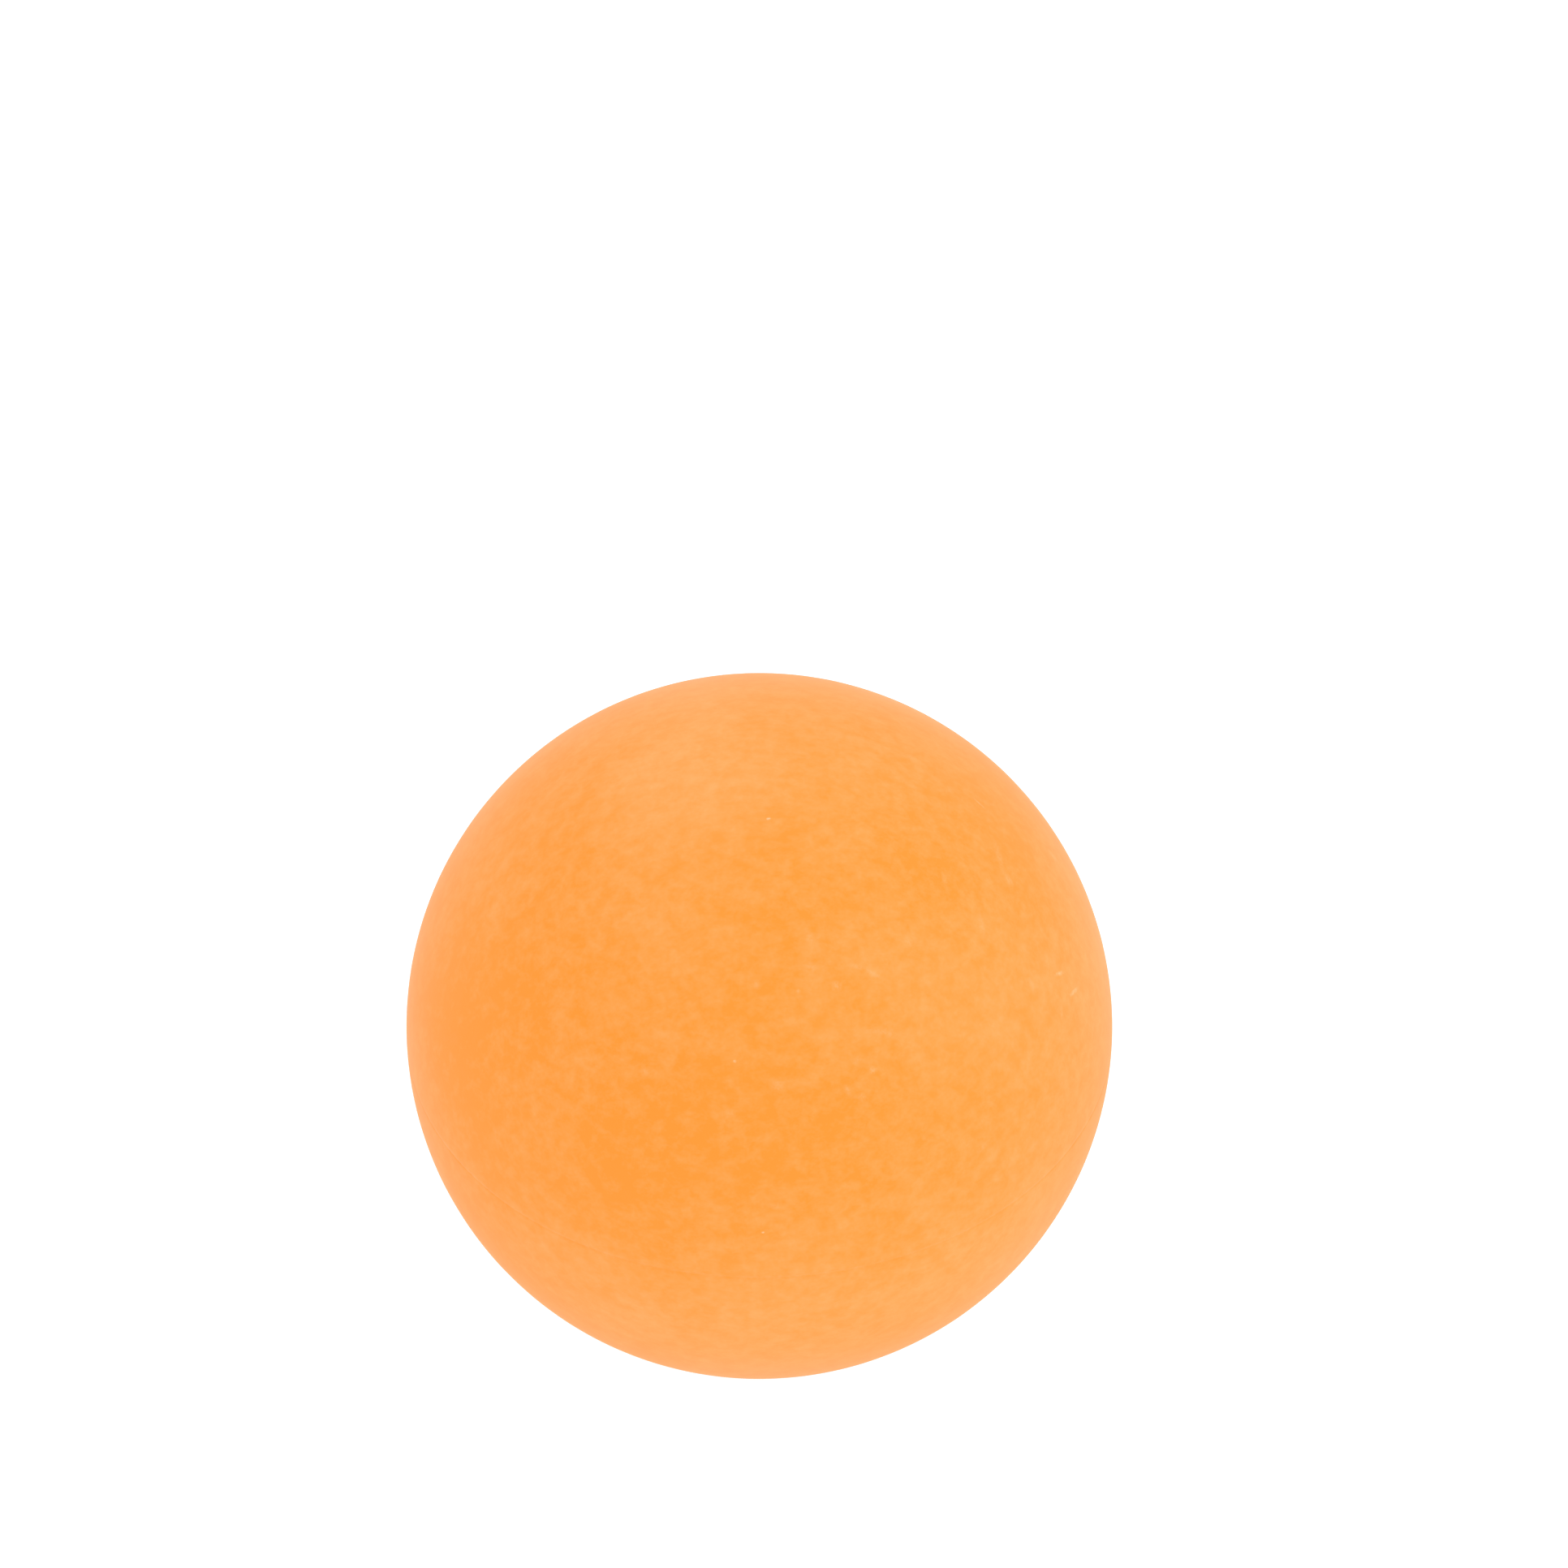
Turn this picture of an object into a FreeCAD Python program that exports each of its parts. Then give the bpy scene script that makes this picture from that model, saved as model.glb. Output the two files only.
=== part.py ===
import FreeCAD, Part
import math
import os

import Sketcher

# Table tennis ball: two moulded half shells, lapped at their rims and joined by a stepped ring of cement.
# The frame has its origin at the ball's centre. +Z runs up through the pole of the upper half shell, and
# the seam lies in the XY plane. Every piece is turned about Z, so each has one profile, drawn on the XZ
# plane with the radius along X and the height along Z. All sizes are in millimetres.

DRIVING_SIZES = (
    ("ball_diameter", 40.0, "outside of the finished ball"),
    ("wall_thickness", 0.50, "moulded wall away from the seam"),
    ("band_thickness", 0.70, "whole wall at the seam, where the rims are thickened inwards"),
    ("lip_thickness", 0.30, "rim of the upper half shell, which shows outside"),
    ("tongue_height", 1.20, "how far the lower half shell's tongue stands above the seam plane"),
    ("cement_film", 0.05, "cement between the tongue and the lip"),
    ("rim_gap", 0.12, "cement between the two rims, which shows outside as the seam"),
    ("seam_recess", 0.02, "how far the cement lies below the ball's surface"),
)

# Radii from the ball's axis and heights from the seam plane, as formulas of the sheet's cells.
BALL_RADIUS = "sizes.ball_diameter / 2"
CAVITY_RADIUS = "sizes.ball_diameter / 2 - sizes.wall_thickness"
BAND_RADIUS = "sizes.ball_diameter / 2 - sizes.band_thickness"
LIP_RADIUS = "sizes.ball_diameter / 2 - sizes.lip_thickness"
TONGUE_RADIUS = "sizes.ball_diameter / 2 - sizes.lip_thickness - sizes.cement_film"
CEMENT_RADIUS = "sizes.ball_diameter / 2 - sizes.seam_recess"
UPPER_RIM = "sizes.rim_gap / 2"
LOWER_RIM = "-sizes.rim_gap / 2"
TONGUE_TOP = "sizes.tongue_height"
LEDGE = "sizes.tongue_height + sizes.cement_film"

# Sketcher's numbers for the sketch's origin point, its vertical axis and the points of an edge.
ORIGIN = (-1, 1)
VERTICAL_AXIS = -2
START, END, CENTRE = 1, 2, 3

ABS_GRAMS_PER_MM3 = 1.06e-3


def add_sizes(doc):
    """The sheet of driving dimensions: each one's name, its value and what it is."""
    sheet = doc.addObject("Spreadsheet::Sheet", "sizes")
    for row, (alias, millimetres, meaning) in enumerate(DRIVING_SIZES, start=1):
        sheet.set(f"A{row}", alias)
        sheet.set(f"B{row}", str(millimetres))
        sheet.set(f"C{row}", meaning)
        sheet.setAlias(f"B{row}", alias)
    doc.recompute()


def new_piece(doc, name):
    """A body at the ball's centre, and an empty profile sketch on its own XZ plane."""
    body = doc.addObject("PartDesign::Body", name)
    body.Label = name
    body.Placement = FreeCAD.Placement(FreeCAD.Vector(0, 0, 0), FreeCAD.Rotation())
    profile = body.newObject("Sketcher::SketchObject", name + "_profile")
    plane = next(feature for feature in body.Origin.OriginFeatures if feature.Role == "XZ_Plane")
    profile.AttachmentSupport = [(plane, "")]
    profile.MapMode = "FlatFace"
    return body, profile


def bind(profile, name, formula, kind, *geometry):
    """Adds a dimension to the sketch and ties it to a formula of the sheet's cells."""
    now = profile.evalExpression(formula)
    index = profile.addConstraint(Sketcher.Constraint(kind, *geometry, now))
    profile.renameConstraint(index, name)
    profile.setExpression("Constraints." + name, formula)


def join(profile, one_end, other_end):
    """Makes two ends of edges one point."""
    profile.addConstraint(Sketcher.Constraint("Coincident", *one_end, *other_end))


def add_line(profile, start, end):
    """A straight edge between two (radius, height) places. Returns its two ends."""
    line = profile.addGeometry(Part.LineSegment(FreeCAD.Vector(*start), FreeCAD.Vector(*end)), False)
    return (line, START), (line, END)


def add_corner_lines(profile, corners):
    """Straight edges through named corners, each with a radius and a height formula. The first corner's
    own dimensions are left to whatever it joins. Returns the first and the last end."""
    places = [
        (profile.evalExpression(radius), profile.evalExpression(height)) for name, radius, height in corners
    ]
    ends = [add_line(profile, start, end) for start, end in zip(places, places[1:])]
    for (name, radius, height), (start, end) in zip(corners[1:], ends):
        bind(profile, name + "_radius", radius, "DistanceX", *ORIGIN, *end)
        bind(profile, name + "_height", height, "DistanceY", *ORIGIN, *end)
    for (start, end), (next_start, next_end) in zip(ends, ends[1:]):
        join(profile, end, next_start)
    return ends[0][0], ends[-1][1]


def add_arc_to_pole(profile, name, formula, side, height):
    """An arc about the ball's centre, from a height near the seam to the pole on one side. Returns those
    two ends."""
    radius = profile.evalExpression(formula)
    circle = Part.Circle(FreeCAD.Vector(0, 0, 0), FreeCAD.Vector(0, 0, 1), radius)
    rise = math.asin(height / radius)
    turn = (rise, math.pi / 2) if side > 0 else (-math.pi / 2, rise)
    arc = profile.addGeometry(Part.ArcOfCircle(circle, *turn), False)
    seam_end, pole_end = ((arc, START), (arc, END)) if side > 0 else ((arc, END), (arc, START))
    join(profile, (arc, CENTRE), ORIGIN)
    profile.addConstraint(Sketcher.Constraint("PointOnObject", *pole_end, VERTICAL_AXIS))
    bind(profile, name, formula, "Radius", arc)
    return seam_end, pole_end


def turn_profile(body, profile):
    """The solid that the profile sweeps in one whole turn about the ball's axis."""
    turned = body.newObject("PartDesign::Revolution", body.Name + "_turned")
    turned.Profile = profile
    turned.ReferenceAxis = (profile, ["V_Axis"])
    turned.Angle = 360
    body.Tip = turned
    return body


def add_half_shell(doc, name, side, rim, step_radius, step_height):
    """A hemisphere with a stepped rim, above the seam for side 1 and below it for side -1. The rim runs
    flat inwards from the ball's surface to step_radius, and there steps up to step_height. Inside, the
    thickened band is a cylinder that runs out into the sphere of the cavity."""
    body, profile = new_piece(doc, name)
    rim_height = profile.evalExpression(rim)
    outer_rim, outer_pole = add_arc_to_pole(profile, "ball_radius", BALL_RADIUS, side, rim_height)
    bind(profile, "rim_height", rim, "DistanceY", *ORIGIN, *outer_rim)
    stepped_rim = (
        ("rim", BALL_RADIUS, rim),
        ("step_foot", step_radius, rim),
        ("step_top", step_radius, step_height),
        ("band", BAND_RADIUS, step_height),
    )
    rim_start, rim_end = add_corner_lines(profile, stepped_rim)
    join(profile, outer_rim, rim_start)

    band = profile.evalExpression(BAND_RADIUS)
    cavity = profile.evalExpression(CAVITY_RADIUS)
    run_out = side * math.sqrt(cavity**2 - band**2)
    cavity_edge, cavity_pole = add_arc_to_pole(profile, "cavity_radius", CAVITY_RADIUS, side, run_out)
    band_start, band_end = add_line(profile, (band, profile.evalExpression(step_height)), (band, run_out))
    join(profile, rim_end, band_start)
    join(profile, band_end, cavity_edge)
    bind(profile, "band_end_radius", BAND_RADIUS, "DistanceX", *ORIGIN, *band_end)

    wall_start, wall_end = add_line(
        profile, (0, side * cavity), (0, side * profile.evalExpression(BALL_RADIUS))
    )
    join(profile, cavity_pole, wall_start)
    join(profile, wall_end, outer_pole)
    return turn_profile(body, profile)


def add_cement_ring(doc, name):
    """The set cement: a flat ring between the rims, a sleeve between tongue and lip, and a flat ring
    between the tongue's top and the ledge above it."""
    body, profile = new_piece(doc, name)
    stepped_ring = (
        ("seam_bottom", CEMENT_RADIUS, LOWER_RIM),
        ("seam_top", CEMENT_RADIUS, UPPER_RIM),
        ("lip_foot", LIP_RADIUS, UPPER_RIM),
        ("ledge_corner", LIP_RADIUS, LEDGE),
        ("ledge_inside", BAND_RADIUS, LEDGE),
        ("tongue_inside", BAND_RADIUS, TONGUE_TOP),
        ("tongue_corner", TONGUE_RADIUS, TONGUE_TOP),
        ("tongue_foot", TONGUE_RADIUS, LOWER_RIM),
        ("seam_bottom_again", CEMENT_RADIUS, LOWER_RIM),
    )
    first, last = add_corner_lines(profile, stepped_ring)
    join(profile, last, first)
    return turn_profile(body, profile)


def check(doc, pieces):
    """Stops the build at a failed object, a loose sketch or a shape that isn't one closed valid solid."""
    for item in doc.Objects:
        if "Invalid" in item.State or "Error" in item.State:
            raise RuntimeError(f"{item.Label} is {item.State}")
        if item.isDerivedFrom("Sketcher::SketchObject") and not item.FullyConstrained:
            raise RuntimeError(f"{item.Label} isn't fully constrained")
    for piece in pieces:
        shape = piece.Shape
        if shape.isNull() or not shape.isValid() or len(shape.Solids) != 1:
            raise RuntimeError(f"{piece.Label} isn't one valid solid")


def export(pieces):
    """Writes each piece to its own file and prints its volume and the ball's mass in moulded ABS."""
    os.makedirs("parts", exist_ok=True)
    for piece in pieces:
        piece.Shape.exportStep(f"parts/{piece.Label}.step")
        print(f"{piece.Label}: {piece.Shape.Volume:.1f} mm3")
    total = sum(piece.Shape.Volume for piece in pieces)
    print(f"ball: {total:.1f} mm3, {total * ABS_GRAMS_PER_MM3:.3f} g")


def main():
    doc = FreeCAD.newDocument("table_tennis_ball")
    add_sizes(doc)
    pieces = [
        add_half_shell(doc, "lower_half_shell", -1, LOWER_RIM, TONGUE_RADIUS, TONGUE_TOP),
        add_half_shell(doc, "upper_half_shell", 1, UPPER_RIM, LIP_RADIUS, LEDGE),
        add_cement_ring(doc, "joint_cement_ring"),
    ]
    doc.recompute()
    check(doc, pieces)
    export(pieces)


main()
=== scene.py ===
import math

import bmesh
import bpy
from bpy.props import FloatProperty, FloatVectorProperty, IntProperty, PointerProperty
from mathutils import Matrix, Vector, noise


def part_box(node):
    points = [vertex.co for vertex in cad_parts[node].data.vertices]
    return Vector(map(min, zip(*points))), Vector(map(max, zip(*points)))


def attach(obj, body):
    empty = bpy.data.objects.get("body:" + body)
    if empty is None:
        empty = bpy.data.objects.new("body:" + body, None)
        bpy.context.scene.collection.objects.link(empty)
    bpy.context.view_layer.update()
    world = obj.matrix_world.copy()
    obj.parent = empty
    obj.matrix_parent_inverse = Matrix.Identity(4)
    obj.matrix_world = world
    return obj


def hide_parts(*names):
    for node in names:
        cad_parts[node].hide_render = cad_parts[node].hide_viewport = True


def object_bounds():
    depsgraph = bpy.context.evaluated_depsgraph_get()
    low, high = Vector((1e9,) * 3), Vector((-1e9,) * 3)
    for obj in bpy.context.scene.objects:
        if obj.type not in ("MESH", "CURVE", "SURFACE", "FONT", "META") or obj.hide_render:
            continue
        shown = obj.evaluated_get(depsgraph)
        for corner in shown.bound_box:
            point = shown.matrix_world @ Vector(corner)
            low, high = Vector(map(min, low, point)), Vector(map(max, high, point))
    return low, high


bl_info = {
    "name": "Table tennis ball",
    "version": (1, 0, 0),
    "blender": (4, 5, 0),
    "location": "3D View > Sidebar > Ball",
    "description": "Builds a table tennis ball's half shells and cemented seam around its packed frame",
    "category": "Add Mesh",
}

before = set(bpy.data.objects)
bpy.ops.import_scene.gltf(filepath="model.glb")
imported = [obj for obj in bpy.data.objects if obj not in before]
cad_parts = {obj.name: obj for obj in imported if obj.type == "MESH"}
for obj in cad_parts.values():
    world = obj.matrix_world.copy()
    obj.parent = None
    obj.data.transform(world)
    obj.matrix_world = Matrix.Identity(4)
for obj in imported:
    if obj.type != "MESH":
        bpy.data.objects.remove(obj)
CAD_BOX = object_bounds()

MM = 0.001
BALL_RADIUS = CAD_BOX[1].z
FLOOR_HEIGHT = CAD_BOX[0].z
RIM_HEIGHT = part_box("upper_half_shell")[0].z
TONGUE_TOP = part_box("lower_half_shell")[1].z
LEDGE_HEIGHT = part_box("joint_cement_ring")[1].z

# The longitude of the ball's front, -Y, where longitude 0 is +X.
FRONT = -90

# Where the skin is paler or deeper than the rest, partly from its chalking and partly as painted light and
# shade:
# longitude and latitude in degrees, then how wide the patch is in mm and how much more or less chalk colour
# it is given.
PATCHES_OF_CHALK_AND_PAINTED_LIGHT = (
    (120, 75, 24, 0.35),
    (-166, 78, 15, 0.35),
    (-34, 40, 15, 0.20),
    (-5, 22, 16, 0.25),
    # A painted dark reflection.
    (-36, 57, 9, -0.20),
    (-88, 49, 13, -0.22),
    (-48, 8, 14, -0.20),
    # Deeper on the left, partly painted shade.
    (-158, 22, 20, -0.40),
    (-112, 20, 18, -0.18),
    (-86, 27, 13, -0.16),
    (-89, 42, 9, -0.20),
    (-69, 21, 12, -0.25),
    (-135, 23, 20, -0.25),
    (-55, 50, 16, 0.30),
    # Paler along the lower limb: painted light.
    (-51, -6, 20, 0.35),
    (-100, -11, 20, 0.30),
    (-85, -14, 18, 0.30),
    (40, -5, 14, 0.30),
    (100, 30, 16, -0.35),
    (150, -30, 18, 0.25),
)

# Pale nicks and scuffs: longitude, latitude and the streak's angle from the east in degrees, then its
# length and width in mm and how white its middle is, from 0 to 1.
MARKS = (
    (-82.3, 78.6, 10, 0.34, 0.24, 0.50),
    (-94.9, 38.3, 0, 0.26, 0.22, 0.55),
    (-89.5, 9.4, 0, 0.26, 0.22, 0.45),
    (-80.7, 49.0, 55, 0.41, 0.39, 0.12),
    (-112.2, 34.3, 0, 0.84, 0.84, 0.07),
    (-87.6, 14.2, 5, 0.92, 0.66, 0.06),
    (-50.7, 14.6, 20, 1.03, 0.60, 0.07),
    (-75.3, 57.3, 95, 1.61, 0.66, 0.06),
    (-71.2, 48.8, -65, 0.84, 0.84, 0.12),
    (-61.7, 49.0, -48, 1.49, 0.45, 0.10),
    (-64.8, 50.8, -34, 1.38, 0.51, 0.06),
    (-67.9, 34.5, 77, 0.63, 0.63, 0.14),
    (-73.4, 32.4, -74, 0.92, 0.54, 0.11),
    (-70.9, 30.7, 80, 0.69, 0.69, 0.12),
    (-86.6, 34.5, -3, 1.14, 1.14, 0.08),
    (-90.7, 50.5, 81, 0.64, 0.51, 0.08),
    (-62.3, 39.2, -25, 0.84, 0.84, 0.07),
    (-76.5, 52.5, -39, 0.99, 0.99, 0.07),
    (-70.4, 36.8, 49, 0.94, 0.51, 0.07),
    (-49.2, 51.2, -51, 0.99, 0.99, 0.06),
    (-95.3, 29.9, 7, 0.75, 0.75, 0.06),
    (-64.8, 40.2, -23, 3.68, 0.60, 0.06),
    (-7.5, 47.8, 28, 2.99, 0.75, 0.07),
    (-12.4, 44.8, 66, 1.03, 0.84, 0.10),
    (-18.8, 28.2, -32, 1.40, 0.33, 0.30),
    (-17.4, 23.2, -19, 1.60, 0.35, 0.25),
    (7.3, 33.5, 80, 1.49, 0.69, 0.07),
    (-29.2, 45.1, 49, 2.18, 0.60, 0.07),
    (-27.1, 32.0, 79, 1.26, 0.51, 0.07),
    (-23.6, 23.6, 55, 1.26, 0.51, 0.07),
    (-27.7, 54.7, 43, 1.72, 0.51, 0.06),
    (7.1, 51.8, 60, 1.20, 0.28, 0.16),
    (35, 12, 25, 0.80, 0.24, 0.35),
    (52, 38, 80, 0.30, 0.24, 0.45),
    (96, 41, 140, 1.10, 0.28, 0.18),
    (118, -9, 145, 0.70, 0.24, 0.35),
    (168, 24, 15, 0.30, 0.24, 0.45),
    (-170, -22, 60, 1.20, 0.28, 0.16),
)


# Sizes, finish and studio -------------------------------------------------------------------------


def linear(hex_colour):
    """An sRGB hex colour as the linear red, green and blue that shaders take."""
    channels = [int(hex_colour[i : i + 2], 16) / 255 for i in (0, 2, 4)]
    return [c / 12.92 if c <= 0.04045 else ((c + 0.055) / 1.055) ** 2.4 for c in channels]


def length(name, description, millimetres):
    """A length that the user may change, in metres."""
    return FloatProperty(
        name=name, description=description, default=millimetres * MM, min=0, unit="LENGTH", precision=5
    )


def colour(name, description, hex_colour):
    """A colour that the user may change."""
    return FloatVectorProperty(
        name=name, description=description, default=linear(hex_colour), min=0, max=1, subtype="COLOR"
    )


def share(name, description, default):
    """A share from none to all that the user may change."""
    return FloatProperty(
        name=name, description=description, default=default, min=0, max=1, subtype="FACTOR"
    )


class ShellSizes(bpy.types.PropertyGroup):
    """The two half shells and the joint between them."""

    wall: length("Wall", "Moulded wall away from the seam", 0.50)
    band: length("Band", "Whole wall at the seam, thickened inwards", 0.70)
    lip: length("Lip", "Rim of the upper half shell, which shows outside", 0.30)
    film: length("Cement film", "Cement between the lower tongue and the upper lip", 0.05)
    rim_round: length("Rim round", "Radius worn on each rim's outer edge", 0.03)
    seam_dip: length("Seam dip", "How far the cement dishes in below the rims' worn edges", 0.005)
    relief: length("Relief", "Depth of the waviness that tumbling leaves", 0.008)
    wave: length("Wave", "Width of one wave of that waviness", 1.6)
    cells: IntProperty(name="Cells", description="Grid cells along an eighth of the rim", default=60, min=8)


class ShellFinish(bpy.types.PropertyGroup):
    """The orange plastic and the cement in its seam."""

    orange: colour("Orange", "The moulded plastic's own colour", "F68D0C")
    # The bloom is also the colour of the painted light in the paler patches listed at the top.
    bloom: colour("Bloom", "The plastic where tumbling has chalked its skin", "FFDCAC")
    nick: colour("Nick", "The plastic where a nick or scuff has whitened it", "FFF0CC")
    cement: colour("Cement", "The set cement in the seam", "F68E10")
    # The amount also scales the painted light and shade of those patches.
    bloom_amount: share("Bloom amount", "How chalky the palest clouds are", 0.13)


class StudioSettings(bpy.types.PropertyGroup):
    """The light tent, the light table and the camera."""

    tent_light: FloatProperty(name="Tent", description="Brightness of the white tent", default=1.04, min=0)
    table_glow: FloatProperty(name="Table", description="Light from inside the table", default=0.94, min=0)
    side_light: FloatProperty(name="Side", description="Softbox on the right", default=0.45, unit="POWER")
    back_light: FloatProperty(name="Back", description="Softbox behind", default=0.45, unit="POWER")
    front_light: FloatProperty(name="Front", description="Softbox in front", default=0.34, unit="POWER")
    camera_height: FloatProperty(
        name="Camera height",
        description="How far above the horizon the camera stands, seen from the ball",
        default=math.radians(44),
        subtype="ANGLE",
    )
    camera_distance: length("Camera distance", "From the ball's centre to the camera", 541)
    aim_right: length("Aim right", "How far to the ball's right the camera looks", 1.43)
    aim_up: length("Aim up", "How far above the ball the camera looks", 13.7)
    lens: FloatProperty(name="Lens", description="Focal length", default=219, min=1, unit="CAMERA")


# Mesh ---------------------------------------------------------------------------------------------

# Faces that meet at more than this are shaded as an edge.
SHARP_EDGE = math.radians(40)
# The waviness has its own width of wave and then a half and a quarter of it, each weaker than the last.
WAVE_SIZES = 3
WAVE_FADE = 1.0
WAVE_SHRINK = 2.0
# How many faces make a quarter of a circle along a rim's worn edge, and the dish between two of them.
ARC_FACES = 4
DISH_FACES = 6


def sphere_direction(longitude, latitude):
    """The unit vector at a longitude and latitude in degrees."""
    east = math.radians(longitude)
    up = math.radians(latitude)
    return Vector((math.cos(up) * math.cos(east), math.cos(up) * math.sin(east), math.sin(up)))


class Dome:
    """A hemisphere's grid of quads with no pinched pole: the top and the upper half of the sides of a
    cube, blown up to a sphere. Its rim is a circle cut into even steps."""

    def __init__(self, cells):
        self.cells = cells
        self.directions = []
        self.quads = []
        self.numbers = {}
        across = range(-cells, cells)
        for i in across:
            for j in across:
                self.add_quad((i, j, cells), (i + 1, j, cells), (i + 1, j + 1, cells), (i, j + 1, cells))
        for turns in range(4):
            for along in across:
                for up in range(cells):
                    corners = ((along, up), (along + 1, up), (along + 1, up + 1), (along, up + 1))
                    self.add_quad(*(self.side_place(turns, a, k) for a, k in corners))
        self.rim = [self.number(self.side_place(turns, along, 0)) for turns in range(4) for along in across]

    def side_place(self, turns, along, up):
        """A place on the cube's +X side, carried round by quarter turns about Z."""
        i, j = self.cells, along
        for _ in range(turns):
            i, j = -j, i
        return i, j, up

    def number(self, place):
        """The vertex at a place on the cube, made when it is first asked for."""
        if place not in self.numbers:
            self.numbers[place] = len(self.directions)
            spread = [math.tan(step * math.pi / 4 / self.cells) for step in place]
            self.directions.append(Vector(spread).normalized())
        return self.numbers[place]

    def add_quad(self, *places):
        """A quad between four places on the cube, in turning order as seen from outside."""
        self.quads.append([self.number(place) for place in places])

    def lifted(self, rise):
        """The directions with the rim raised by an angle, and the rest squeezed towards the pole."""
        squeeze = 1 - rise / (math.pi / 2)
        lifted = []
        for direction in self.directions:
            latitude = rise + squeeze * math.asin(min(1.0, direction.z))
            level = Vector((direction.x, direction.y, 0)).normalized() * math.cos(latitude)
            lifted.append(level + Vector((0, 0, math.sin(latitude))))
        return lifted


class Turning:
    """Vertices and quads of a piece that is turned about Z, ring by ring."""

    def __init__(self, dome):
        self.around = [dome.directions[number].xy.normalized() for number in dome.rim]
        self.vertices = []
        self.quads = []

    def add_ring(self, radius, height):
        """A ring of vertices at one radius and height, in the order of the dome's rim."""
        start = len(self.vertices)
        self.vertices += [Vector((x * radius, y * radius, height)) for x, y in self.around]
        return list(range(start, len(self.vertices)))

    def add_strip(self, ring, following):
        """Quads between two rings. They face out where the section runs down, in, up and out again."""
        for here, there in zip(range(len(ring)), [*range(1, len(ring)), 0]):
            self.quads.append([ring[here], following[here], following[there], ring[there]])

    def add_dome(self, places, dome, facing_out):
        """A dome at the given places. Returns its rim."""
        start = len(self.vertices)
        self.vertices += places
        for quad in dome.quads:
            numbers = [start + number for number in quad]
            self.quads.append(numbers if facing_out else numbers[::-1])
        return [start + number for number in dome.rim]

    def make(self, name, side=1):
        """The mesh object, turned upside down for side -1."""
        flip = Vector((1, 1, side))
        quads = self.quads if side > 0 else [quad[::-1] for quad in self.quads]
        mesh = bpy.data.meshes.new(name)
        mesh.from_pydata([vertex * flip for vertex in self.vertices], [], quads)
        mesh.shade_smooth()
        mesh.set_sharp_from_angle(angle=SHARP_EDGE)
        piece = bpy.data.objects.new(name, mesh)
        bpy.context.scene.collection.objects.link(piece)
        return piece


def surface_depth(direction, sizes):
    """How far tumbling's waviness takes the outside below the true sphere."""
    waviness = noise.fractal(direction * (BALL_RADIUS / sizes.wave), WAVE_FADE, WAVE_SHRINK, WAVE_SIZES)
    return sizes.relief * (1 + max(-1.0, min(1.0, waviness))) / 2


def rim_arc(sizes):
    """Radii and heights along the worn edge of a rim, from the ball's surface to the rim's flat."""
    arc = []
    for step in range(ARC_FACES + 1):
        angle = math.pi / 2 * step / ARC_FACES
        radius = BALL_RADIUS - sizes.rim_round * (1 - math.cos(angle))
        height = RIM_HEIGHT + sizes.rim_round * (1 - math.sin(angle))
        arc.append((radius, height))
    return arc


def make_half_shell(name, side, step_radius, step_height, dome, sizes):
    """A hollow hemisphere with its stepped rim. Heights are counted towards its own pole, so the lower
    shell's tongue, which stands past the seam, has a negative step_height."""
    outer_rise = math.asin((RIM_HEIGHT + sizes.rim_round) / BALL_RADIUS)
    band_radius = BALL_RADIUS - sizes.band
    cavity_radius = BALL_RADIUS - sizes.wall
    inner_rise = math.atan(step_height / band_radius)
    shell = Turning(dome)

    # The waviness dies away over the last wave's width above the rim, so that the rims meet.
    outside = []
    for direction in dome.lifted(outer_rise):
        seen_from = direction * Vector((1, 1, side))
        clear_of_seam = min(1.0, (math.asin(direction.z) - outer_rise) * BALL_RADIUS / sizes.wave)
        depth = surface_depth(seen_from, sizes) * clear_of_seam
        outside.append(direction * (BALL_RADIUS - depth))
    rings = [shell.add_dome(outside, dome, facing_out=True)]
    rings += [shell.add_ring(*place) for place in rim_arc(sizes)[1:]]
    rings.append(shell.add_ring(step_radius, RIM_HEIGHT))
    rings.append(shell.add_ring(step_radius, step_height))
    # Inside, the thickened band is a cylinder that runs out into the sphere of the cavity.
    inside = []
    for direction in dome.lifted(inner_rise):
        from_axis = cavity_radius * direction.xy.length
        drawn_in = band_radius / from_axis if from_axis > band_radius else 1.0
        inside.append(direction * cavity_radius * drawn_in)
    rings.append(shell.add_dome(inside, dome, facing_out=False))
    for ring, following in zip(rings, rings[1:]):
        shell.add_strip(ring, following)
    return shell.make(name, side)


def make_cement_ring(name, dome, sizes):
    """The set cement: a dished bead between the worn rims, a sleeve round the tongue and a flat on top
    of it. It fits the half shells face to face."""
    lip_radius = BALL_RADIUS - sizes.lip
    tongue_radius = lip_radius - sizes.film
    band_radius = BALL_RADIUS - sizes.band
    worn = rim_arc(sizes)[ARC_FACES // 2 :]
    edge_radius, edge_height = worn[0]
    bead = []
    for step in range(1, DISH_FACES):
        across = 1 - 2 * step / DISH_FACES
        bead.append((edge_radius - sizes.seam_dip * (1 - across**2), edge_height * across))
    section = [*reversed(worn), *bead, *((radius, -height) for radius, height in worn)]
    section += [
        (tongue_radius, -RIM_HEIGHT),
        (tongue_radius, TONGUE_TOP),
        (band_radius, TONGUE_TOP),
        (band_radius, LEDGE_HEIGHT),
        (lip_radius, LEDGE_HEIGHT),
        (lip_radius, RIM_HEIGHT),
    ]
    ring = Turning(dome)
    rings = [ring.add_ring(*place) for place in section]
    for here, following in zip(rings, [*rings[1:], rings[0]]):
        ring.add_strip(here, following)
    return ring.make(name)


# Materials ----------------------------------------------------------------------------------------

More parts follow.
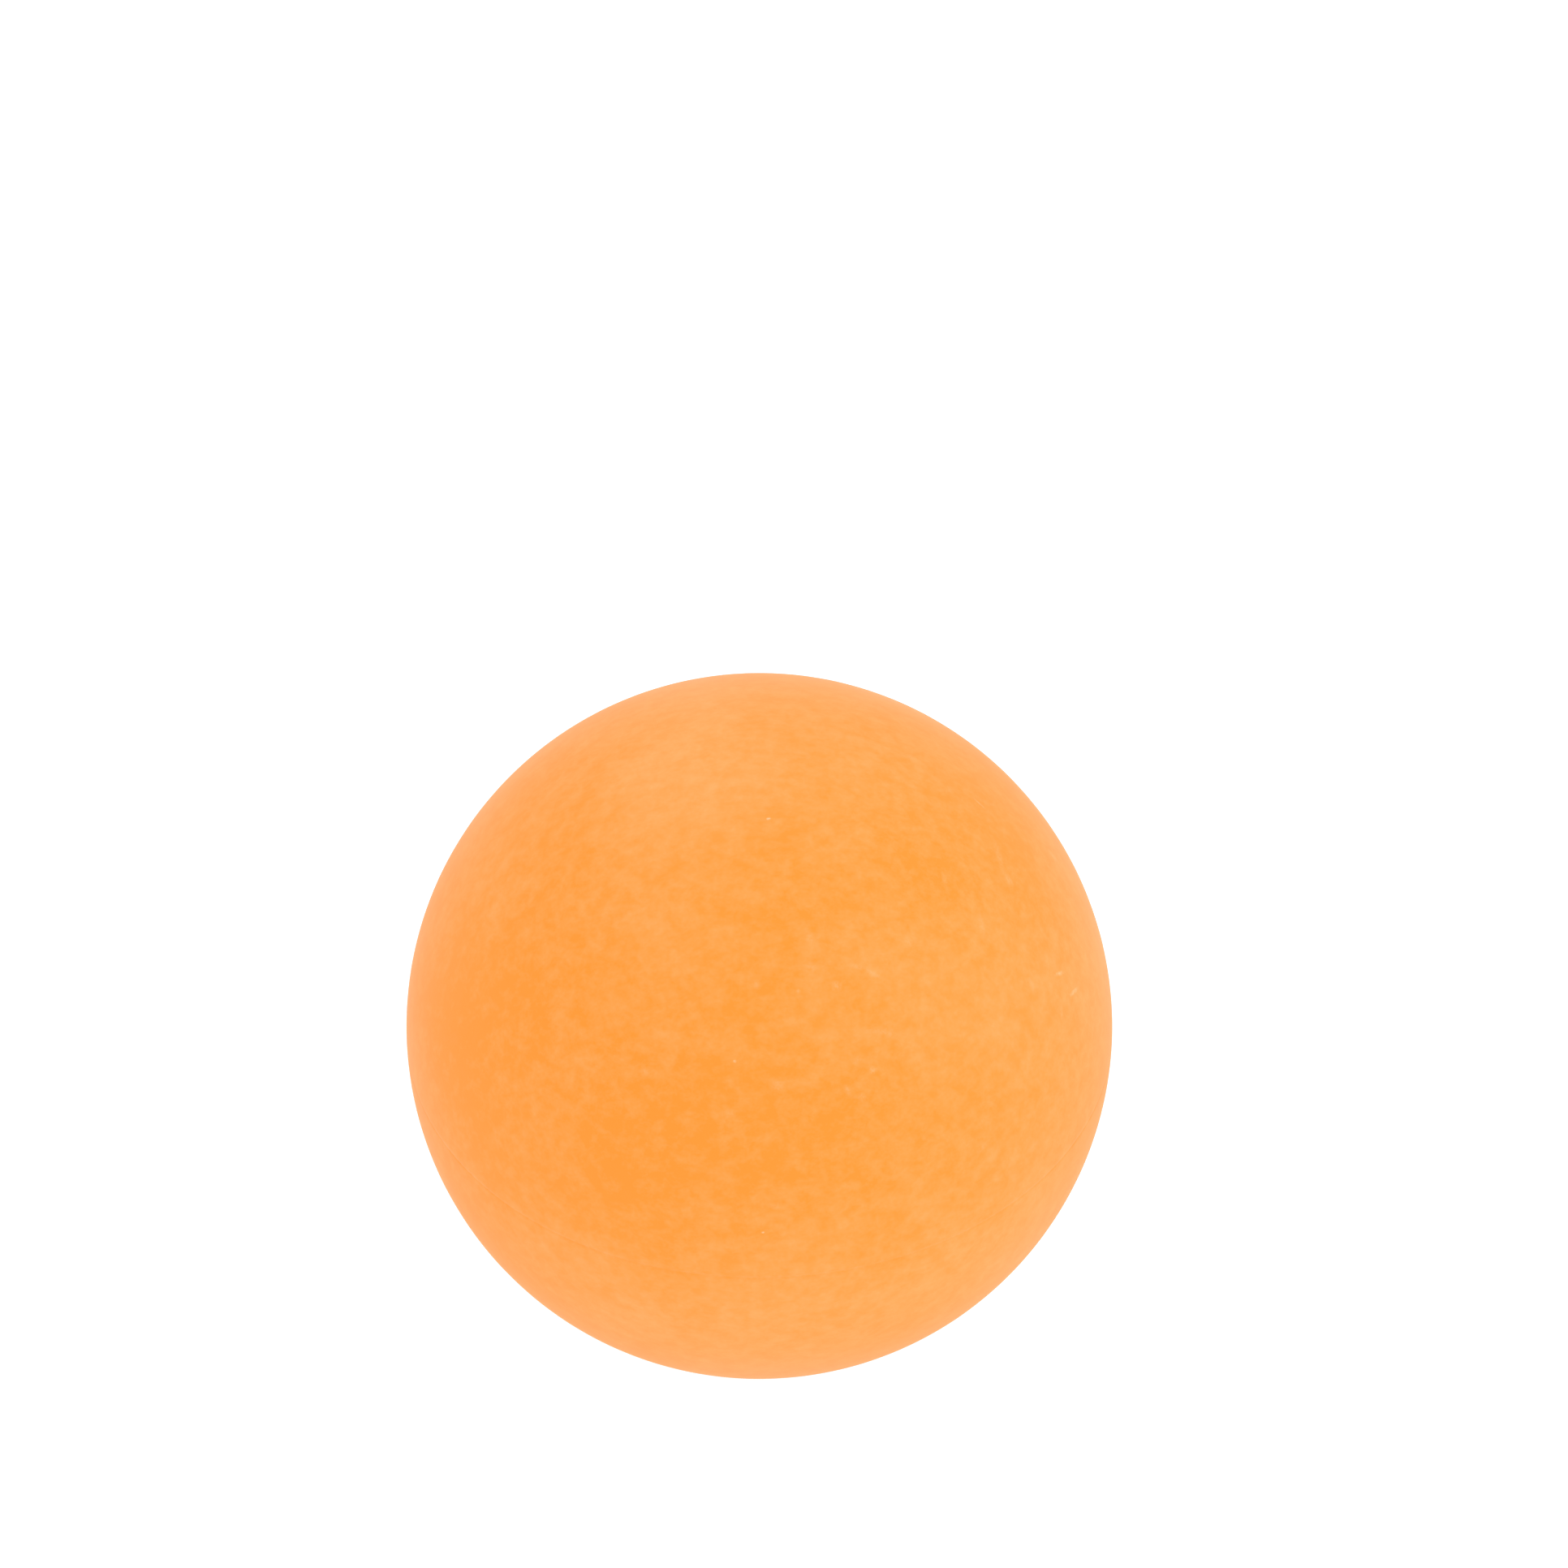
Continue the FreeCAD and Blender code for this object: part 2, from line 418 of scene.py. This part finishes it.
# A Mix node's sockets for colours, which share their names with its sockets for numbers.
MIX_FACTOR, MIX_COLOUR_A, MIX_COLOUR_B, MIX_COLOUR_RESULT = 0, 6, 7, 2

# How wide the patterns on the skin are, in mm.
CLOUD_WIDTH = 0.9
PATCH_WIDTH = 9.0
SPECK_WIDTH = 0.12
# The grit leaves a grain of about 0.05 mm. It is drawn this coarse, the finest that shows.
GRAIN_WIDTH = 0.18
GRAIN_DEPTH = 0.012 * MM
GRAIN_STRENGTH = 0.35

# The levels of each noise at which its pattern begins and is full.
CLOUD_LEVELS = (0.35, 0.71)
PATCH_LEVELS = (0.3, 0.7)
SPECK_LEVELS = (0.38, 0.56)
# The clouds' pattern is run through more slowly from left to right, which makes them wider that way.
CLOUD_STRETCH = 0.78
# How much more or less chalk a patch of noise has at the most.
PATCH_CHALK = 0.25
# How much of a mark is left between its specks.
LEAST_SPECK = 0.3

# The roughness of bare plastic, of chalk, which scatters light more evenly, and of rubbed cement.
BARE_ROUGHNESS = 0.54
CHALK_ROUGHNESS = 0.64
CEMENT_ROUGHNESS = 0.5

# ABS as it comes from the mould and the grit, with a little dusty sheen where it is seen aslant.
ABS_IOR = 1.50
ABS_DIFFUSE_ROUGHNESS = 0.1
ABS_SHEEN = 0.035
ABS_SHEEN_ROUGHNESS = 0.5
ABS_SHEEN_TINT = "FFFAF6"

# Opal acrylic lets most of the light through, so it reflects only about a fifth.
OPAL = "7C7C7B"
ACRYLIC_IOR = 1.49
ACRYLIC_ROUGHNESS = 0.6
WHITE = "FFFFFF"


def add_node(tree, kind, inputs=None, **settings):
    """Adds a node with its settings. An input that is another node's output is linked, and any other
    is the socket's own value."""
    node = tree.nodes.new(kind)
    for name, value in settings.items():
        setattr(node, name, value)
    for socket, value in (inputs or {}).items():
        if isinstance(value, bpy.types.NodeSocket):
            tree.links.new(value, node.inputs[socket])
        else:
            node.inputs[socket].default_value = value
    return node


def per_metre(millimetres):
    """A pattern's scale that makes one of its features this wide."""
    return 1 / (millimetres * MM)


def new_material(name):
    """An empty node material, and its tree."""
    material = bpy.data.materials.new(name)
    material.use_nodes = True
    material.node_tree.nodes.clear()
    return material, material.node_tree


def add_spots(tree, place, spots, joined_by):
    """One value made of soft spots laid on the ball's surface. Each has a longitude, a latitude, an angle
    from the east, a length and a width in mm, and its value in the middle. Spots that overlap add up
    where joined_by is ADD, and the stronger one counts where it is MAXIMUM."""
    total = 0.0
    for longitude, latitude, angle, long, wide, middle in spots:
        outward = sphere_direction(longitude, latitude)
        east = Vector((0, 0, 1)).cross(outward).normalized()
        turn = math.radians(angle)
        along = east * math.cos(turn) + outward.cross(east) * math.sin(turn)
        lie = Matrix((along, outward.cross(along), outward)).transposed()
        local = add_node(
            tree,
            "ShaderNodeMapping",
            {
                "Vector": place,
                "Location": outward * BALL_RADIUS,
                "Rotation": lie.to_euler(),
                "Scale": (long * MM / 2, wide * MM / 2, wide * MM / 2),
            },
            vector_type="TEXTURE",
        )
        away = add_node(tree, "ShaderNodeVectorMath", {0: local.outputs["Vector"]}, operation="LENGTH")
        spot = add_node(
            tree,
            "ShaderNodeMapRange",
            {"Value": away.outputs["Value"], "From Min": 1.0, "From Max": 0.0, "To Max": middle},
            interpolation_type="SMOOTHSTEP",
        )
        joined = add_node(
            tree, "ShaderNodeMath", {0: total, 1: spot.outputs["Result"]}, operation=joined_by
        )
        total = joined.outputs["Value"]
    return total


def add_chalk_with_painted_light(tree, place, finish):
    """How much the skin is chalked at a place, with painted light and shade added in, and the small clouds
    alone. The clouds are from 0.1 to
    0.9 mm across and lie a little wider than they are tall, since the ball rolls most about one axis as
    it tumbles. Patches of noise 9 mm across are a little more or less chalky in all. The patches listed at
    the top add the same, partly for the chalking and partly as painted light and shade."""
    rolled = add_node(tree, "ShaderNodeMapping", {"Vector": place, "Scale": (CLOUD_STRETCH, 1.0, 1.0)})
    clouds = add_node(
        tree,
        "ShaderNodeTexNoise",
        {
            "Vector": rolled.outputs["Vector"],
            "Scale": per_metre(CLOUD_WIDTH),
            "Detail": 3.0,
            "Roughness": 0.77,
            "Distortion": 0.1,
        },
    )
    clouded = add_node(
        tree,
        "ShaderNodeMapRange",
        {"Value": clouds.outputs["Fac"], "From Min": CLOUD_LEVELS[0], "From Max": CLOUD_LEVELS[1]},
    )
    patches = add_node(
        tree,
        "ShaderNodeTexNoise",
        {"Vector": place, "Scale": per_metre(PATCH_WIDTH), "Detail": 2.0, "Roughness": 0.6},
    )
    patched = add_node(
        tree,
        "ShaderNodeMapRange",
        {
            "Value": patches.outputs["Fac"],
            "From Min": PATCH_LEVELS[0],
            "From Max": PATCH_LEVELS[1],
            "To Min": -PATCH_CHALK,
            "To Max": PATCH_CHALK,
        },
    )
    # The listed patches are partly chalking and partly painted light and shade: a painted dark reflection,
    # painted shade on the left and painted light along the lower limb.
    round_light_and_chalk_patches = [(east, up, 0, wide, wide, more) for east, up, wide, more in PATCHES_OF_CHALK_AND_PAINTED_LIGHT]
    listed_light_and_chalk = add_spots(tree, place, round_light_and_chalk_patches, "ADD")
    uneven_with_painted_light = add_node(tree, "ShaderNodeMath", {0: patched.outputs["Result"], 1: listed_light_and_chalk}, operation="ADD")
    share_of_bloom_and_light = add_node(
        tree, "ShaderNodeMath", {0: clouded.outputs["Result"], 1: uneven_with_painted_light.outputs["Value"]}, operation="ADD"
    )
    chalk_and_painted_light = add_node(
        tree,
        "ShaderNodeMath",
        {0: share_of_bloom_and_light.outputs["Value"], 1: finish.bloom_amount},
        operation="MULTIPLY",
    )
    return chalk_and_painted_light.outputs["Value"], clouded.outputs["Result"]


def tumbled_orange_abs(finish):
    """ABS moulded in orange, then tumbled in grit until the mould's gloss is gone. It gives the eye a
    dry, even matte with pale chalky clouds up to a millimetre across, a few pale nicks and faint scuffs,
    and an edge that turns peach where the rough skin is seen aslant."""
    material, tree = new_material("tumbled_orange_abs")
    place = add_node(tree, "ShaderNodeTexCoord").outputs["Object"]
    chalk_and_painted_light, clouds = add_chalk_with_painted_light(tree, place, finish)
    # The orange turns towards the bloom with the chalking, and with the painted light and shade of the
    # patches listed at the top.
    chalked = add_node(
        tree,
        "ShaderNodeMix",
        {MIX_FACTOR: chalk_and_painted_light, MIX_COLOUR_A: (*finish.orange, 1), MIX_COLOUR_B: (*finish.bloom, 1)},
        data_type="RGBA",
    )

    # Specks break up the marks, so that no two look alike.
    ragged = add_node(
        tree, "ShaderNodeTexNoise", {"Vector": place, "Scale": per_metre(SPECK_WIDTH), "Detail": 2.0}
    )
    broken = add_node(
        tree,
        "ShaderNodeMapRange",
        {
            "Value": ragged.outputs["Fac"],
            "From Min": SPECK_LEVELS[0],
            "From Max": SPECK_LEVELS[1],
            "To Min": LEAST_SPECK,
        },
    )
    marks = add_node(
        tree,
        "ShaderNodeMath",
        {0: add_spots(tree, place, MARKS, "MAXIMUM"), 1: broken.outputs["Result"]},
        operation="MULTIPLY",
    )
    skin = add_node(
        tree,
        "ShaderNodeMix",
        {
            MIX_FACTOR: marks.outputs["Value"],
            MIX_COLOUR_A: chalked.outputs[MIX_COLOUR_RESULT],
            MIX_COLOUR_B: (*finish.nick, 1),
        },
        data_type="RGBA",
    )

    roughness = add_node(
        tree, "ShaderNodeMapRange", {"Value": clouds, "To Min": BARE_ROUGHNESS, "To Max": CHALK_ROUGHNESS}
    )
    grain = add_node(
        tree,
        "ShaderNodeTexNoise",
        {"Vector": place, "Scale": per_metre(GRAIN_WIDTH), "Detail": 2.0, "Roughness": 0.6},
    )
    pitted = add_node(
        tree,
        "ShaderNodeBump",
        {"Height": grain.outputs["Fac"], "Strength": GRAIN_STRENGTH, "Distance": GRAIN_DEPTH},
    )
    shader = add_node(
        tree,
        "ShaderNodeBsdfPrincipled",
        {
            "Base Color": skin.outputs[MIX_COLOUR_RESULT],
            "Roughness": roughness.outputs["Result"],
            "Normal": pitted.outputs["Normal"],
            "IOR": ABS_IOR,
            "Diffuse Roughness": ABS_DIFFUSE_ROUGHNESS,
            "Sheen Weight": ABS_SHEEN,
            "Sheen Roughness": ABS_SHEEN_ROUGHNESS,
            "Sheen Tint": (*linear(ABS_SHEEN_TINT), 1),
        },
    )
    add_node(tree, "ShaderNodeOutputMaterial", {"Surface": shader.outputs["BSDF"]})
    return material


def set_solvent_cement(finish):
    """Cement of the same ABS dissolved in solvent, set in the seam and rubbed down with the shells. It
    gives the eye no more than a hairline, a shade smoother than the tumbled skin on either side."""
    material, tree = new_material("set_solvent_cement")
    place = add_node(tree, "ShaderNodeTexCoord").outputs["Object"]
    # The seam takes the same chalking and the same painted light and shade as the shells.
    chalk_and_painted_light, _ = add_chalk_with_painted_light(tree, place, finish)
    skin = add_node(
        tree,
        "ShaderNodeMix",
        {MIX_FACTOR: chalk_and_painted_light, MIX_COLOUR_A: (*finish.cement, 1), MIX_COLOUR_B: (*finish.bloom, 1)},
        data_type="RGBA",
    )
    shader = add_node(
        tree,
        "ShaderNodeBsdfPrincipled",
        {
            "Base Color": skin.outputs[MIX_COLOUR_RESULT],
            "Roughness": CEMENT_ROUGHNESS,
            "IOR": ABS_IOR,
            "Diffuse Roughness": ABS_DIFFUSE_ROUGHNESS,
            "Sheen Weight": ABS_SHEEN,
            "Sheen Roughness": ABS_SHEEN_ROUGHNESS,
        },
    )
    add_node(tree, "ShaderNodeOutputMaterial", {"Surface": shader.outputs["BSDF"]})
    return material


def opal_acrylic(glow):
    """A sheet of cast opal acrylic lit from inside, as on a light table. It gives the eye an even white
    with barely a shadow on it."""
    material, tree = new_material("opal_acrylic")
    shader = add_node(
        tree,
        "ShaderNodeBsdfPrincipled",
        {
            "Base Color": (*linear(OPAL), 1),
            "Roughness": ACRYLIC_ROUGHNESS,
            "IOR": ACRYLIC_IOR,
            "Emission Color": (*linear(WHITE), 1),
            "Emission Strength": glow,
        },
    )
    add_node(tree, "ShaderNodeOutputMaterial", {"Surface": shader.outputs["BSDF"]})
    return material


# Operators ----------------------------------------------------------------------------------------

SOFTBOX_SIZE = 500 * MM
SOFTBOX_DISTANCE = 600 * MM
# The longitude and latitude that each softbox stands at.
SIDE_SOFTBOX = (-20, 22)
BACK_SOFTBOX = (90, 65)
FRONT_SOFTBOX = (FRONT, 44)
TABLE_RADIUS = 1500 * MM
TABLE_SIDES = 96


def finish_piece(piece, material, node):
    """Gives a piece its material and its place in the frame."""
    piece.data.materials.append(material)
    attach(piece, "root")
    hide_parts(node)


class BALL_OT_half_shells(bpy.types.Operator):
    """Builds the two moulded half shells with their stepped rims"""

    bl_idname = "ball.half_shells"
    bl_label = "Half shells"

    def execute(self, context):
        sizes = context.scene.ball_sizes
        finish = context.scene.ball_finish
        dome = Dome(sizes.cells)
        skin = tumbled_orange_abs(finish)
        lip_radius = BALL_RADIUS - sizes.lip
        tongue_radius = lip_radius - sizes.film
        lower = make_half_shell("lower_shell", -1, tongue_radius, -TONGUE_TOP, dome, sizes)
        upper = make_half_shell("upper_shell", 1, lip_radius, LEDGE_HEIGHT, dome, sizes)
        finish_piece(lower, skin, "lower_half_shell")
        finish_piece(upper, skin, "upper_half_shell")
        return {"FINISHED"}


class BALL_OT_cement_seam(bpy.types.Operator):
    """Builds the ring of set cement that joins the half shells"""

    bl_idname = "ball.cement_seam"
    bl_label = "Cement seam"

    def execute(self, context):
        sizes = context.scene.ball_sizes
        finish = context.scene.ball_finish
        ring = make_cement_ring("cement_seam", Dome(sizes.cells), sizes)
        finish_piece(ring, set_solvent_cement(finish), "joint_cement_ring")
        return {"FINISHED"}


class BALL_OT_studio(bpy.types.Operator):
    """Sets up the light table, the white tent, the softboxes and the camera"""

    bl_idname = "ball.studio"
    bl_label = "Studio"

    def execute(self, context):
        scene = context.scene
        studio = scene.ball_studio
        self.add_table(scene, studio)
        self.add_tent(scene, studio)
        self.add_softbox(scene, "side_softbox", SIDE_SOFTBOX, studio.side_light)
        self.add_softbox(scene, "back_softbox", BACK_SOFTBOX, studio.back_light)
        self.add_softbox(scene, "front_softbox", FRONT_SOFTBOX, studio.front_light)
        self.add_camera(scene, studio)
        scene.view_settings.view_transform = "Standard"
        return {"FINISHED"}

    def add_table(self, scene, studio):
        """A round white table top, far wider than the view, with the ball resting on it."""
        mesh = bpy.data.meshes.new("light_table")
        form = bmesh.new()
        bmesh.ops.create_circle(form, cap_ends=True, segments=TABLE_SIDES, radius=TABLE_RADIUS)
        bmesh.ops.translate(form, verts=form.verts, vec=(0, 0, FLOOR_HEIGHT))
        form.to_mesh(mesh)
        form.free()
        mesh.materials.append(opal_acrylic(studio.table_glow))
        table = bpy.data.objects.new("light_table", mesh)
        scene.collection.objects.link(table)

    def add_tent(self, scene, studio):
        """The same soft white from every side."""
        world = bpy.data.worlds.new("white_tent")
        world.use_nodes = True
        world.node_tree.nodes.clear()
        tent = add_node(
            world.node_tree,
            "ShaderNodeBackground",
            {"Color": (*linear(WHITE), 1), "Strength": studio.tent_light},
        )
        add_node(world.node_tree, "ShaderNodeOutputWorld", {"Surface": tent.outputs["Background"]})
        scene.world = world

    def add_softbox(self, scene, name, place, power):
        """A large soft light facing the ball from a longitude and latitude, out of the camera's sight."""
        direction = sphere_direction(*place)
        light = bpy.data.lights.new(name, "AREA")
        light.size = SOFTBOX_SIZE
        light.energy = power
        softbox = bpy.data.objects.new(name, light)
        softbox.location = direction * SOFTBOX_DISTANCE
        softbox.rotation_euler = (-direction).to_track_quat("-Z", "Y").to_euler()
        softbox.visible_camera = False
        scene.collection.objects.link(softbox)

    def add_camera(self, scene, studio):
        """The camera in front of the ball, looking down past its top."""
        back = sphere_direction(FRONT, math.degrees(studio.camera_height))
        right = Vector((1, 0, 0))
        up = back.cross(right)
        place = back * studio.camera_distance
        aim = right * studio.aim_right + up * studio.aim_up
        data = bpy.data.cameras.new("camera")
        data.lens = studio.lens
        camera = bpy.data.objects.new("camera", data)
        camera.location = place
        camera.rotation_euler = (aim - place).to_track_quat("-Z", "Y").to_euler()
        scene.collection.objects.link(camera)
        scene.camera = camera


class BALL_PT_panel(bpy.types.Panel):
    """Lists the steps that build the ball and its studio"""

    bl_idname = "BALL_PT_panel"
    bl_label = "Table tennis ball"
    bl_space_type = "VIEW_3D"
    bl_region_type = "UI"
    bl_category = "Ball"

    def draw(self, context):
        layout = self.layout
        scene = context.scene
        for group in (scene.ball_sizes, scene.ball_finish, scene.ball_studio):
            column = layout.column(align=True)
            for name in group.__annotations__:
                column.prop(group, name)
        for operator in OPERATORS:
            layout.operator(operator.bl_idname)


GROUPS = {"ball_sizes": ShellSizes, "ball_finish": ShellFinish, "ball_studio": StudioSettings}
OPERATORS = (BALL_OT_half_shells, BALL_OT_cement_seam, BALL_OT_studio)
CLASSES = (*GROUPS.values(), *OPERATORS, BALL_PT_panel)


def register():
    """Registers the classes and hangs the ball's sizes, finish and studio on the scene."""
    for each in CLASSES:
        bpy.utils.register_class(each)
    for name, group in GROUPS.items():
        setattr(bpy.types.Scene, name, PointerProperty(type=group))


def unregister():
    """Takes off again what register put on."""
    for name in GROUPS:
        delattr(bpy.types.Scene, name)
    for each in reversed(CLASSES):
        bpy.utils.unregister_class(each)


def main():
    """Builds every piece and the studio."""
    register()
    bpy.ops.ball.half_shells()
    bpy.ops.ball.cement_seam()
    bpy.ops.ball.studio()


if __name__ == "__main__":
    main()
